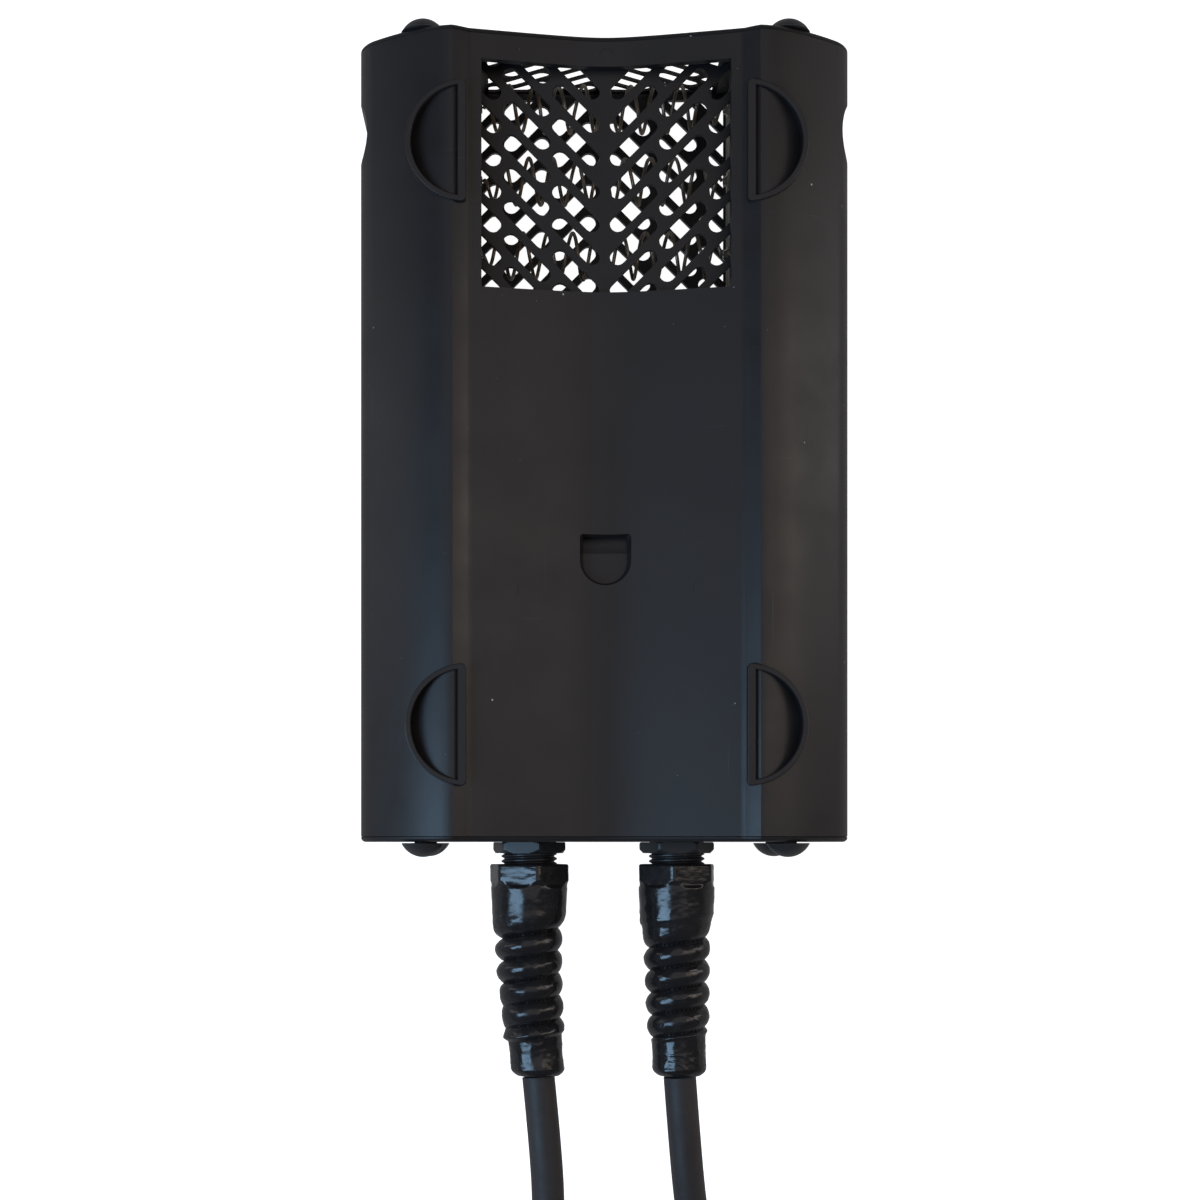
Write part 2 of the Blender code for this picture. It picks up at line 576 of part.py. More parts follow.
# ---- the free leads ----------------------------------------------------------
def make_leads():
    # left lead: stays level and enters the upper stored coil at its left side
    y0 = -184.1
    lx = -GLAND_X + bend_x(y0, -1)
    rx = GLAND_X + bend_x(y0, 1)
    side_x = HANK_R + 4.8
    yin = HANK_Y + 36.2
    zl, zr = 19.6 + 4.8, 0.1 + 4.8
    left = smooth_path([(lx, y0, GLAND_Z), (lx + 1.9, y0 - 20, 25.2), (lx + 3.1, -226.0, 25.3), (lx + 0.2, -243.0, 25.2),
                        (-30.0, -262.0, 24.9), (-47.0, -281.0, 24.6), (-side_x + 0.4, yin, zl)], 14)
    right = smooth_path([(rx, y0, GLAND_Z), (rx + 1.6, y0 - 20, 24.2), (rx + 4.0, -226.0, 20.5), (rx + 8.5, -244.0, 15.8),
                         (43.0, -263.0, 10.4), (53.0, -280.0, 6.8), (side_x - 0.4, yin, zr + 0.3)], 14)
    tube("lead_left_run", left, LEAD_R, RUBBER, 2)
    tube("lead_right_run", right, LEAD_R, RUBBER, 2)
    for tag, z0 in (("right", 0.1), ("left", 19.6)):
        bm = bmesh.new()
        n = 36
        prof = [(HANK_R - HANK_B, z0 + 2.4), (HANK_R - HANK_B + 2.4, z0), (HANK_R + HANK_B - 2.4, z0),
                (HANK_R + HANK_B, z0 + 2.4), (HANK_R + HANK_B, z0 + 16.8), (HANK_R + HANK_B - 2.4, z0 + 19.2),
                (HANK_R - HANK_B + 2.4, z0 + 19.2), (HANK_R - HANK_B, z0 + 16.8)]
        vs = [bm.verts.new((r, HANK_Y, z)) for r, z in prof]
        es = [bm.edges.new((vs[i], vs[(i + 1) % len(vs)])) for i in range(len(vs))]
        bmesh.ops.spin(bm, geom=vs + es, cent=(0, HANK_Y, 0), axis=(0, 0, 1), angle=2 * math.pi, steps=n,
                       use_merge=True)
        bmesh.ops.remove_doubles(bm, verts=bm.verts, dist=1e-4)
        add("lead_%s_coil" % tag, bm, RUBBER, True, 50)


make_back_shell()
make_front_shell()
make_grilles()
make_caps()
make_bumpers()
make_glands()
make_element()
make_inside()
make_leads()
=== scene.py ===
import math
import random

import bmesh
import bpy
import numpy as np
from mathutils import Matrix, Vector, noise


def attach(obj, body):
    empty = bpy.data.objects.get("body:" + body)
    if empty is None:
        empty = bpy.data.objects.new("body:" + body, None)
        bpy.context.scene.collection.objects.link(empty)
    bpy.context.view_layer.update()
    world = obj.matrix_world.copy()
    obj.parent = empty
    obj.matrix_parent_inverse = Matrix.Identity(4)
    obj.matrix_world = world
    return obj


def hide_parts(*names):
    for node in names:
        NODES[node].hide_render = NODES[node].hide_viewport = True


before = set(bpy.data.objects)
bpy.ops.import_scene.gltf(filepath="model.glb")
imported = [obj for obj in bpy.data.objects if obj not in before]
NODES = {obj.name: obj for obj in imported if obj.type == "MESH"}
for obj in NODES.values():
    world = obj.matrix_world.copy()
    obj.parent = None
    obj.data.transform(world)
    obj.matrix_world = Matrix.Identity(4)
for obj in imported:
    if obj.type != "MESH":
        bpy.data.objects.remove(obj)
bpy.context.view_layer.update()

MM = 0.001
YS = 32.25                # box centre to the frame's origin, mm
SCENE = bpy.context.scene

# ---- the part's own dimensions (mm, box-centred Y) ---------------------------
HALF_W, HALF_L, CAP_T = 70.6, 115.0, 1.6
SPLIT_Z, Z_CREST, RING_TOP = 20.0, 55.0, 55.9
CH_BASE, CH_ROUND, CH_SLOPE = 43.22, 2.0, 0.235
X_CREST, X_CHAN, WING_K, WING_X = 43.3, 38.7, 0.080, 66.5
WALL, SIDE_IN, GAP, SEAM = 2.6, 66.3, 0.3, 0.01
WIN_X, WIN_XF, WIN_Y0, WIN_Y1, WIN_TOP = 35.3, 38.6, 41.9, 106.3, 112.3
GRILLE_T, REAR_Z, FRONT_Z = 1.8, 41.7, 4.2
REAR_X, REAR_Y0, REAR_Y1 = 37.0, 39.6, 112.0
SLOT_PITCH, SLOT_R, SLOT_RUN, SLOT_COL, SLOT_IN = 9.5, 2.25, 9.3, 14.2, 3.65
REAR_PHASE, FRONT_PHASE = 90.9, 92.8
TOP_PITCH, TOP_RISE, TOP_PHASE, TOP_SKIN = 7.2, 0.77, 29.8, 0.8
RING_X, RING_Y, RING_R, RING_T, RING_BAR = 39.5, 82.0, 17.2, 1.6, 2.4
HOOK_W, HOOK_Y0, HOOK_Y1, HOOK_FLOOR = 7.2, -41.8, -27.2, 41.0
BUMP_X, BUMP_R, BUMP_H, BUMP_Z = 52.0, 6.25, 4.0, (11.5, 46.0)
GLAND_X, GLAND_Z, LEAD_R = 21.75, 25.0, 4.8
COIL_ROWS, COIL_Z, COIL_R, COIL_PITCH, WIRE_R = (102.0, 80.6, 58.6), 23.0, 6.6, 7.2, 0.55
HANK_Y, HANK_R, HANK_B = -330.0, 52.8, 9.6


def P(x, y, z):
    """Box-centred millimetres to the row frame in metres."""
    return Vector((x * MM, (y + YS) * MM, z * MM))


# ---- camera ------------------------------------------------------------------
CAM_X, CAM_Y, CAM_Z = -22.4, -115.0, 646.0
F_PX = 2105.0
cam_data = bpy.data.cameras.new("view_camera")
cam = bpy.data.objects.new("view_camera", cam_data)
SCENE.collection.objects.link(cam)
cam_data.sensor_width = 36.0
cam_data.lens = F_PX / 1200.0 * 36.0
cam.location = P(CAM_X, CAM_Y, CAM_Z)
cam.rotation_euler = (0.0, 0.0, 0.0)
# the photograph's centre is off the optical axis: 600 - 527 px and 842 - 600 px
cam_data.shift_x = 73.0 / 1200.0
cam_data.shift_y = 242.0 / 1200.0
cam_data.clip_start, cam_data.clip_end = 0.01, 20.0
SCENE.camera = cam
bpy.context.view_layer.update()


# ---- leads -------------------------------------------------------------------
def bend_x(y, side):
    far = 2.7 if side < 0 else 0.9
    t = (-142.0 - y) / 42.0
    return far * max(0.0, t) ** 1.6 if t < 1.0 else far + (t - 1.0) * 3.2


def catmull(ctrl, per=24):
    p = [Vector(c) for c in ctrl]
    p = [p[0] * 2 - p[1]] + p + [p[-1] * 2 - p[-2]]
    out = []
    for i in range(1, len(p) - 2):
        a, b, c, d = p[i - 1], p[i], p[i + 1], p[i + 2]
        for s in range(per):
            t = s / per
            out.append(0.5 * ((2 * b) + (c - a) * t + (2 * a - 5 * b + 4 * c - d) * t * t
                              + (3 * b - a - 3 * c + d) * t ** 3))
    out.append(p[-2])
    return out


def resample(dense, step):
    cum = [0.0]
    for a, b in zip(dense, dense[1:]):
        cum.append(cum[-1] + (b - a).length)
    n = max(2, int(round(cum[-1] / step)))
    out, j = [], 0
    for k in range(n + 1):
        s = cum[-1] * k / n
        while j < len(cum) - 2 and cum[j + 1] < s:
            j += 1
        u = (s - cum[j]) / max(1e-9, cum[j + 1] - cum[j])
        out.append(dense[j].lerp(dense[j + 1], min(1.0, max(0.0, u))))
    return out


def smooth_line(pts, rounds):
    q = [Vector(p) for p in pts]
    for _ in range(rounds):
        q = [q[0]] + [q[i] * 0.5 + (q[i - 1] + q[i + 1]) * 0.25 for i in range(1, len(q) - 1)] + [q[-1]]
    return q


def step(t):
    t = min(1.0, max(0.0, t))
    return t * t * (3 - 2 * t)


def winding(sense, z0, first_turn_from):
    """Turns of a stored coil: outer low, inner low, inner high, outer high.

    sense -1 winds clockwise seen from above (entered on the right), +1 the
    other way (entered on the left)."""
    lo, hi = z0 + LEAD_R, z0 + LEAD_R + 2 * LEAD_R
    r_out, r_in = HANK_R + LEAD_R, HANK_R - LEAD_R
    w = 58.0
    pts = []
    total = 3 * 360 + 168
    a = 0.0
    while a <= total + 1e-6:
        r, z = r_out, lo
        # lane changes, each one earlier round the ring than the last
        c1, c2, c3 = 360 - 20, 720 - 20 - w * 0.86, 1080 - 20 - 2 * w * 0.86
        r = r_out + (r_in - r_out) * step((a - (c1 - w)) / w)
        z = lo + (hi - lo) * step((a - (c2 - w)) / w)
        r += (r_out - r_in) * step((a - (c3 - w)) / w)
        th = math.radians(sense * a) + (0.0 if sense < 0 else math.pi)
        pts.append(Vector((r * math.cos(th), HANK_Y + r * math.sin(th), z)))
        a += 6.0
    return pts


def lead_points(side):
    y0 = -184.1
    if side > 0:
        rx = GLAND_X + bend_x(y0, 1)
        z0 = 0.1
        ctrl = [(rx, y0, GLAND_Z), (rx + 1.6, y0 - 20, 24.2), (rx + 4.0, -226.0, 20.5), (rx + 8.5, -244.0, 15.8),
                (43.0, -263.0, 10.4), (53.0, -280.0, 6.8)]
        side_pts = [(57.2, -304.0, 5.1)]
        wind = winding(-1, z0, 0)
    else:
        lx = -GLAND_X + bend_x(y0, -1)
        z0 = 19.6
        ctrl = [(lx, y0, GLAND_Z), (lx + 1.9, y0 - 20, 25.2), (lx + 3.1, -226.0, 25.3), (lx + 0.2, -243.0, 25.2),
                (-30.0, -262.0, 24.9), (-47.0, -281.0, 24.6)]
        side_pts = [(-57.0, -305.0, 24.4)]
        wind = winding(1, z0, 0)
    dense = catmull(ctrl + side_pts + [tuple(p) for p in wind], 6)
    return smooth_line(resample(dense, 4.0), 6)


def make_tube(name, pts, radius, sides=24):
    """A round tube along pts (mm, box-centred), as one closed mesh with UVs left out."""
    pts = [Vector(p) for p in pts]
    n = len(pts)
    tan = [(pts[min(i + 1, n - 1)] - pts[max(i - 1, 0)]).normalized() for i in range(n)]
    up = Vector((0, 0, 1))
    nrm = (up - tan[0] * up.dot(tan[0])).normalized()
    bm = bmesh.new()
    rings = []
    arc = 0.0
    for i in range(n):
        nrm = (nrm - tan[i] * nrm.dot(tan[i])).normalized()
        bi = tan[i].cross(nrm)
        if i:
            arc += (pts[i] - pts[i - 1]).length
        ring = []
        for k in range(sides):
            th = 2 * math.pi * k / sides
            r = radius(arc, th) if callable(radius) else radius
            q = pts[i] + (nrm * math.cos(th) + bi * math.sin(th)) * r
            ring.append(bm.verts.new(P(*q)))
        rings.append(ring)
    for a, b in zip(rings, rings[1:]):
        for k in range(sides):
            m = (k + 1) % sides
            bm.faces.new((a[k], a[m], b[m], b[k]))
    for ring, flip in ((rings[0], True), (rings[-1], False)):
        c = bm.verts.new(sum((v.co for v in ring), Vector()) / sides)
        for k in range(sides):
            m = (k + 1) % sides
            bm.faces.new((ring[m], ring[k], c) if flip else (ring[k], ring[m], c))
    bmesh.ops.recalc_face_normals(bm, faces=bm.faces)
    me = bpy.data.meshes.new(name)
    bm.to_mesh(me)
    bm.free()
    me.shade_smooth()
    me.set_sharp_from_angle(angle=math.radians(60))
    ob = bpy.data.objects.new(name, me)
    SCENE.collection.objects.link(ob)
    return ob


CORDS = {}
for tag, side in (("left", -1), ("right", 1)):
    pts = lead_points(side)
    ob = make_tube("rubber_lead_" + tag, pts, LEAD_R, 20)
    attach(ob, "root")
    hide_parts("lead_%s_run" % tag, "lead_%s_coil" % tag)
    CORDS[tag] = (ob, pts)

# ---- materials ---------------------------------------------------------------
class Nodes:
    """Short hand for building one material's nodes."""

    def __init__(self, name):
        self.mat = bpy.data.materials.new(name)
        self.mat.use_nodes = True
        self.nt = self.mat.node_tree
        self.bsdf = self.nt.nodes["Principled BSDF"]
        self.coord = self.nt.nodes.new("ShaderNodeTexCoord").outputs["Object"]

    def link(self, a, b):
        self.nt.links.new(a, b)

    def mapping(self, scale=(1, 1, 1), rot=(0, 0, 0), loc=(0, 0, 0)):
        n = self.nt.nodes.new("ShaderNodeMapping")
        n.inputs["Scale"].default_value = scale
        n.inputs["Rotation"].default_value = rot
        n.inputs["Location"].default_value = loc
        self.link(self.coord, n.inputs["Vector"])
        return n.outputs["Vector"]

    def noise(self, scale, detail=3.0, rough=0.55, vec=None):
        n = self.nt.nodes.new("ShaderNodeTexNoise")
        n.inputs["Scale"].default_value = scale
        n.inputs["Detail"].default_value = detail
        n.inputs["Roughness"].default_value = rough
        self.link(vec or self.coord, n.inputs["Vector"])
        return n.outputs["Fac"]

    def voronoi(self, scale, out="Distance", vec=None, feature='F1'):
        n = self.nt.nodes.new("ShaderNodeTexVoronoi")
        n.feature = feature
        n.inputs["Scale"].default_value = scale
        self.link(vec or self.coord, n.inputs["Vector"])
        return n.outputs[out]

    def ramp(self, fac, stops):
        n = self.nt.nodes.new("ShaderNodeValToRGB")
        el = n.color_ramp.elements
        while len(el) > 1:
            el.remove(el[-1])
        for i, (pos, col) in enumerate(stops):
            e = el[0] if i == 0 else el.new(pos)
            e.position = pos
            e.color = (*col, 1.0) if len(col) == 3 else col
        self.link(fac, n.inputs["Fac"])
        return n.outputs["Color"]

    def math(self, op, a, b):
        n = self.nt.nodes.new("ShaderNodeMath")
        n.operation = op
        for i, v in enumerate((a, b)):
            if isinstance(v, (int, float)):
                n.inputs[i].default_value = v
            else:
                self.link(v, n.inputs[i])
        return n.outputs[0]

    def mix(self, fac, a, b, mode='MIX'):
        n = self.nt.nodes.new("ShaderNodeMix")
        n.data_type = 'RGBA'
        n.blend_type = mode
        n.clamp_factor = True
        if isinstance(fac, (int, float)):
            n.inputs[0].default_value = fac
        else:
            self.link(fac, n.inputs[0])
        for idx, v in ((6, a), (7, b)):
            if isinstance(v, tuple):
                n.inputs[idx].default_value = (*v, 1.0)
            else:
                self.link(v, n.inputs[idx])
        return n.outputs[2]

    def bump(self, height, strength, distance, prev=None):
        n = self.nt.nodes.new("ShaderNodeBump")
        n.inputs["Strength"].default_value = strength
        n.inputs["Distance"].default_value = distance
        self.link(height, n.inputs["Height"])
        if prev is not None:
            self.link(prev, n.inputs["Normal"])
        return n.outputs["Normal"]

    def grey(self, v):
        return (v, v, v)


def moulded(name, col, rough, grain=0.10, dust=0.0, scratch=0.0, wear=0.25, coat=0.0):
    """Satin moulded plastic: fine grain, patchy gloss, dust specks and hairline scratches."""
    m = Nodes(name)
    big = m.noise(26.0, 4.0, 0.6)
    c = m.mix(big, tuple(x * (1 - wear) for x in col), tuple(x * (1 + wear) for x in col))
    r = m.ramp(m.noise(60.0, 5.0, 0.6), [(0.30, m.grey(rough - 0.05)), (0.70, m.grey(rough + 0.06))])
    if scratch > 0:
        v1 = m.mapping((14.0, 1500.0, 30.0), (0, 0, math.radians(12)))
        v2 = m.mapping((1500.0, 10.0, 30.0), (0, 0, math.radians(-8)))
        s1 = m.ramp(m.noise(1.0, 1.0, 0.4, v1), [(0.76, (0, 0, 0)), (0.80, (1, 1, 1))])
        s2 = m.ramp(m.noise(1.0, 1.0, 0.4, v2), [(0.77, (0, 0, 0)), (0.81, (1, 1, 1))])
        s = m.mix(1.0, s1, s2, 'ADD')
        gate = m.ramp(m.noise(34.0, 2.0), [(0.52, (0, 0, 0)), (0.64, (1, 1, 1))])
        s = m.mix(1.0, s, gate, 'MULTIPLY')
        f = m.math('MULTIPLY', s, scratch)
        c = m.mix(f, c, (0.11, 0.11, 0.12))
    if dust > 0:
        for sc, size, keep, tone in ((230.0, 0.055, 0.80, 0.45), (95.0, 0.032, 0.66, 0.70), (620.0, 0.09, 0.90, 0.24)):
            d = m.voronoi(sc)
            dot = m.ramp(d, [(size * 0.55, (1, 1, 1)), (size, (0, 0, 0))])
            pick = m.ramp(m.voronoi(sc, "Color"), [(keep, (0, 0, 0)), (keep + 0.01, (1, 1, 1))])
            f = m.math('MULTIPLY', m.mix(1.0, dot, pick, 'MULTIPLY'), dust)
            c = m.mix(f, c, (tone, tone, tone * 0.98))
    m.link(c, m.bsdf.inputs["Base Color"])
    m.link(r, m.bsdf.inputs["Roughness"])
    b = m.bump(m.noise(2600.0, 2.0, 0.5), grain, 0.00004)
    b = m.bump(m.noise(240.0, 3.0, 0.5), grain * 0.6, 0.00010, b)
    m.link(b, m.bsdf.inputs["Normal"])
    m.bsdf.inputs["IOR"].default_value = 1.46
    if coat:
        m.bsdf.inputs["Coat Weight"].default_value = coat
        m.bsdf.inputs["Coat Roughness"].default_value = 0.12
    return m.mat


def shrink_film(name):
    """Glossy black shrink film with soft wrinkles and rub marks."""
    m = Nodes(name)
    big = m.noise(90.0, 3.0, 0.6)
    c = m.mix(big, (0.008, 0.0075, 0.0085), (0.024, 0.022, 0.023))
    rub = m.ramp(m.noise(420.0, 6.0, 0.75), [(0.52, (0, 0, 0)), (0.74, (1, 1, 1))])
    c = m.mix(m.math('MULTIPLY', rub, 0.20), c, (0.080, 0.078, 0.075))
    speck = m.ramp(m.voronoi(700.0), [(0.05, (1, 1, 1)), (0.10, (0, 0, 0))])
    pick = m.ramp(m.voronoi(700.0, "Color"), [(0.90, (0, 0, 0)), (0.91, (1, 1, 1))])
    c = m.mix(m.math('MULTIPLY', m.mix(1.0, speck, pick, 'MULTIPLY'), 0.6), c, (0.45, 0.44, 0.40))
    m.link(c, m.bsdf.inputs["Base Color"])
    r = m.ramp(m.noise(150.0, 4.0, 0.65), [(0.35, m.grey(0.13)), (0.75, m.grey(0.29))])
    m.link(r, m.bsdf.inputs["Roughness"])
    v = m.mapping((260.0, 900.0, 260.0), (0, 0, math.radians(24)))
    b = m.bump(m.noise(1.0, 3.0, 0.5, v), 0.14, 0.00045)
    b = m.bump(m.noise(170.0, 2.0, 0.5), 0.16, 0.0008, b)
    m.link(b, m.bsdf.inputs["Normal"])
    m.bsdf.inputs["IOR"].default_value = 1.50
    return m.mat


def rubber(name, lo=(0.027, 0.022, 0.022), hi=(0.047, 0.040, 0.038)):
    """Matte lead jacket: dusty, with faint fine bumps."""
    m = Nodes(name)
    c = m.mix(m.noise(120.0, 5.0, 0.7), lo, hi)
    dust = m.ramp(m.noise(1900.0, 3.0, 0.7), [(0.58, (0, 0, 0)), (0.80, (1, 1, 1))])
    c = m.mix(m.math('MULTIPLY', dust, 0.22), c, (0.13, 0.125, 0.12))
    m.link(c, m.bsdf.inputs["Base Color"])
    r = m.ramp(m.noise(75.0, 4.0, 0.6), [(0.3, m.grey(0.50)), (0.7, m.grey(0.66))])
    m.link(r, m.bsdf.inputs["Roughness"])
    b = m.bump(m.noise(1300.0, 3.0, 0.6), 0.22, 0.00006)
    b = m.bump(m.noise(170.0, 3.0, 0.5), 0.15, 0.0003, b)
    m.link(b, m.bsdf.inputs["Normal"])
    return m.mat


def metal(name, lo, hi, rough, spots=0.0, metallic=1.0, scale=300.0):
    m = Nodes(name)
    c = m.mix(m.noise(scale, 5.0, 0.7), lo, hi)
    if spots:
        t = m.ramp(m.noise(scale * 3.1, 3.0, 0.6), [(0.55, (0, 0, 0)), (0.72, (1, 1, 1))])
        c = m.mix(m.math('MULTIPLY', t, spots), c, tuple(x * 0.45 for x in lo))
    m.link(c, m.bsdf.inputs["Base Color"])
    m.bsdf.inputs["Metallic"].default_value = metallic
    r = m.ramp(m.noise(scale * 1.7, 4.0, 0.6), [(0.3, m.grey(rough * 0.8)), (0.7, m.grey(min(1.0, rough * 1.25)))])
    m.link(r, m.bsdf.inputs["Roughness"])
    b = m.bump(m.noise(scale * 6, 2.0, 0.5), 0.12, 0.00005)
    m.link(b, m.bsdf.inputs["Normal"])
    return m.mat


def board(name, lo, hi, rough):
    m = Nodes(name)
    v = m.mapping((180.0, 900.0, 500.0))
    c = m.mix(m.noise(1.0, 5.0, 0.7, v), lo, hi)
    fleck = m.ramp(m.voronoi(800.0), [(0.08, (1, 1, 1)), (0.20, (0, 0, 0))])
    c = m.mix(m.math('MULTIPLY', fleck, 0.25), c, tuple(min(1.0, x * 1.6) for x in hi))
    m.link(c, m.bsdf.inputs["Base Color"])
    m.bsdf.inputs["Roughness"].default_value = rough
    m.link(m.bump(m.noise(700.0, 4.0, 0.6), 0.25, 0.0001), m.bsdf.inputs["Normal"])
    return m.mat


BODY_COL = (0.0200, 0.0176, 0.0182)
MAT_CASE = moulded("satin_case", BODY_COL, 0.37, 0.10, 0.9, 0.35)
MAT_CAP = moulded("satin_cap", (0.0175, 0.0158, 0.0160), 0.43, 0.12, 0.6, 0.0)
MAT_GRILLE = moulded("satin_grille", (0.0150, 0.0135, 0.0140), 0.40, 0.10, 0.5, 0.0)
MAT_INSIDE = moulded("inner_moulding", (0.013, 0.012, 0.012), 0.55, 0.10, 0.0, 0.0)
MAT_BUMP = moulded("bumper_polymer", (0.027, 0.026, 0.027), 0.40, 0.06, 0.3, 0.0)
MAT_GLAND = moulded("gland_polyamide", (0.026, 0.025, 0.026), 0.34, 0.08, 0.35, 0.0)
MAT_FILM = shrink_film("shrink_film")
MAT_RUBBER = rubber("lead_jacket")
MAT_WIRE = metal("oxidised_wire", (0.22, 0.175, 0.135), (0.52, 0.43, 0.34), 0.40, 0.5, 0.8, 700.0)
MAT_STEEL = metal("bright_plating", (0.58, 0.57, 0.54), (0.80, 0.79, 0.76), 0.24, 0.25)
MAT_SHIELD = metal("shield_metal", (0.36, 0.36, 0.35), (0.55, 0.55, 0.54), 0.38, 0.3)
MAT_BOARD = board("mica_board", (0.20, 0.16, 0.11), (0.34, 0.28, 0.20), 0.62)
MAT_CERAM = board("terminal_body", (0.52, 0.49, 0.43), (0.70, 0.67, 0.60), 0.55)


# ---- mesh helpers ------------------------------------------------------------
def at_row(bm):
    """Box-centred millimetres in a bmesh become row-frame metres."""
    bmesh.ops.transform(bm, matrix=ROW, verts=bm.verts)


from mathutils import Matrix

ROW = Matrix.Translation((0.0, YS * MM, 0.0)) @ Matrix.Diagonal((MM, MM, MM, 1.0))


def add(name, bm, mat, smooth=True, angle=32.0, stands=(), ride=True):
    bmesh.ops.recalc_face_normals(bm, faces=bm.faces)
    at_row(bm)
    me = bpy.data.meshes.new(name)
    bm.to_mesh(me)
    bm.free()
    if smooth:
        me.shade_smooth()
        me.set_sharp_from_angle(angle=math.radians(angle))
    ob = bpy.data.objects.new(name, me)
    SCENE.collection.objects.link(ob)
    if mat is not None:
        me.materials.append(mat)
    if ride:
        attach(ob, "root")
        if stands:
            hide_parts(*stands)
    return ob


def apply_modifiers(ob):
    dg = bpy.context.evaluated_depsgraph_get()
    me = bpy.data.meshes.new_from_object(ob.evaluated_get(dg))
    old = ob.data
    ob.modifiers.clear()
    ob.data = me
    me.name = ob.name
    bpy.data.meshes.remove(old)


def cut(ob, cutters, op='DIFFERENCE'):
    """Boolean with throwaway bmesh cutters, applied at once."""
    for k, bm in enumerate(cutters):
        c = add("cutter", bm, None, False, ride=False)
        m = ob.modifiers.new("b", 'BOOLEAN')
        m.operation, m.solver, m.object = op, 'EXACT', c
        apply_modifiers(ob)
        bpy.data.objects.remove(c, do_unlink=True)


def finish_mesh(ob, angle=32.0, bevel=0.0, segs=2, bevel_angle=38.0):
    if bevel:
        m = ob.modifiers.new("edge", 'BEVEL')
        m.width, m.segments, m.limit_method = bevel * MM, segs, 'ANGLE'
        m.angle_limit = math.radians(bevel_angle)
        m.harden_normals = False
        m.use_clamp_overlap = True
        apply_modifiers(ob)
    me = ob.data
    me.shade_smooth()
    me.set_sharp_from_angle(angle=math.radians(angle))
    w = ob.modifiers.new("wn", 'WEIGHTED_NORMAL')
    w.keep_sharp = True
    w.weight = 60


def extrude_poly(bm, pts, axis, a, b):
    def loc(p, h):
        return (p[0], h, p[1]) if axis == 'Y' else (p[0], p[1], h) if axis == 'Z' else (h, p[0], p[1])
    vs = [bm.verts.new(loc(p, a)) for p in pts]
    f = bm.faces.new(vs)
    r = bmesh.ops.extrude_face_region(bm, geom=[f])
    d = Vector(loc((0, 0), b)) - Vector(loc((0, 0), a))
    bmesh.ops.translate(bm, vec=d, verts=[v for v in r["geom"] if isinstance(v, bmesh.types.BMVert)])


def draft_poly(bm, rings):
    """Stack of same-count outlines [(points, z)], closed at both ends."""
    vv = [[bm.verts.new((p[0], p[1], z)) for p in pts] for pts, z in rings]
    n = len(vv[0])
    for a, b in zip(vv, vv[1:]):
        for i in range(n):
            j = (i + 1) % n
            bm.faces.new((a[i], a[j], b[j], b[i]))
    bm.faces.new(vv[0])
    bm.faces.new(vv[-1])


def box(bm, x0, x1, y0, y1, z0, z1):
    extrude_poly(bm, [(x0, y0), (x1, y0), (x1, y1), (x0, y1)], 'Z', z0, z1)


def circle_pts(cx, cy, r, n, a0=0.0, a1=2 * math.pi, full=True):
    k = n if full else n + 1
    return [(cx + r * math.cos(a0 + (a1 - a0) * i / n), cy + r * math.sin(a0 + (a1 - a0) * i / n))
            for i in range(k)]


# ---- the box's outline -------------------------------------------------------
def back_z(x):
    u = abs(x)
    if u <= X_CHAN:
        return CH_BASE + math.sqrt(CH_ROUND ** 2 + (CH_SLOPE * u) ** 2)
    if u < X_CREST:
        t = (u - X_CHAN) / (X_CREST - X_CHAN)
        lo = back_z(X_CHAN)
        return lo + (Z_CREST - lo) * (1.25 * t - 0.25 * t * t)
    return Z_CREST - WING_K * (u - X_CREST) ** 1.6


def back_xs():
    wing = [X_CREST + (WING_X - X_CREST) * (i / 34) for i in range(34, 0, -1)]
    rail = [X_CREST - (X_CREST - X_CHAN) * i / 8 for i in range(0, 8)]
    chan = [X_CHAN * i / 40 for i in range(40, 0, -1)]
    half = wing + rail + chan
    return [-x for x in half] + [0.0] + list(reversed(half))


def corner():
    """Rounded shoulder from the wing to the side wall, left side."""
    x0, z0 = WING_X, back_z(WING_X)
    sl = WING_K * 1.6 * (WING_X - X_CREST) ** 0.6
    p0, p3 = Vector((x0, z0)), Vector((HALF_W - 0.02, 34.9))
    p1 = p0 + Vector((1.0, -sl)) * 1.9
    p2 = p3 + Vector((0.0, 2.9))
    out = []
    for i in range(1, 13):
        t = i / 12
        q = p0 * (1 - t) ** 3 + p1 * 3 * t * (1 - t) ** 2 + p2 * 3 * t * t * (1 - t) + p3 * t ** 3
        out.append((q.x, q.y))
    return out


def back_outer(z_low):
    c = corner()
    pts = [(-HALF_W, z_low)] + [(-x, z) for x, z in reversed(c)]
    pts += [(x, back_z(x)) for x in back_xs()]
    pts += c + [(HALF_W, z_low)]
    return pts


FRONT_C = 5.5


def front_outer(z_top):
    pts = [(HALF_W, z_top)]
    pts += circle_pts(HALF_W - FRONT_C, FRONT_C, FRONT_C, 14, 0.0, -math.pi / 2, False)
    pts += circle_pts(-HALF_W + FRONT_C, FRONT_C, FRONT_C, 14, -math.pi / 2, -math.pi, False)
    pts += [(-HALF_W, z_top)]
    return pts


def clip(poly, inside, cross):
    out = []
    for i, p in enumerate(poly):
        q = poly[(i + 1) % len(poly)]
        if inside(p):
            out.append(p)
        if inside(p) != inside(q):
            out.append(cross(p, q))
    return out


def clip_box(poly, x0, x1, y0, y1):
    def mid(p, q, t):
        return (p[0] + (q[0] - p[0]) * t, p[1] + (q[1] - p[1]) * t)
    for k, lim, sgn in ((0, x0, 1), (0, x1, -1), (1, y0, 1), (1, y1, -1)):
        if not poly:
            break
        poly = clip(poly, lambda p: (p[k] - lim) * sgn >= 0,
                    lambda p, q: mid(p, q, (lim - p[k]) / (q[k] - p[k])))
    return poly


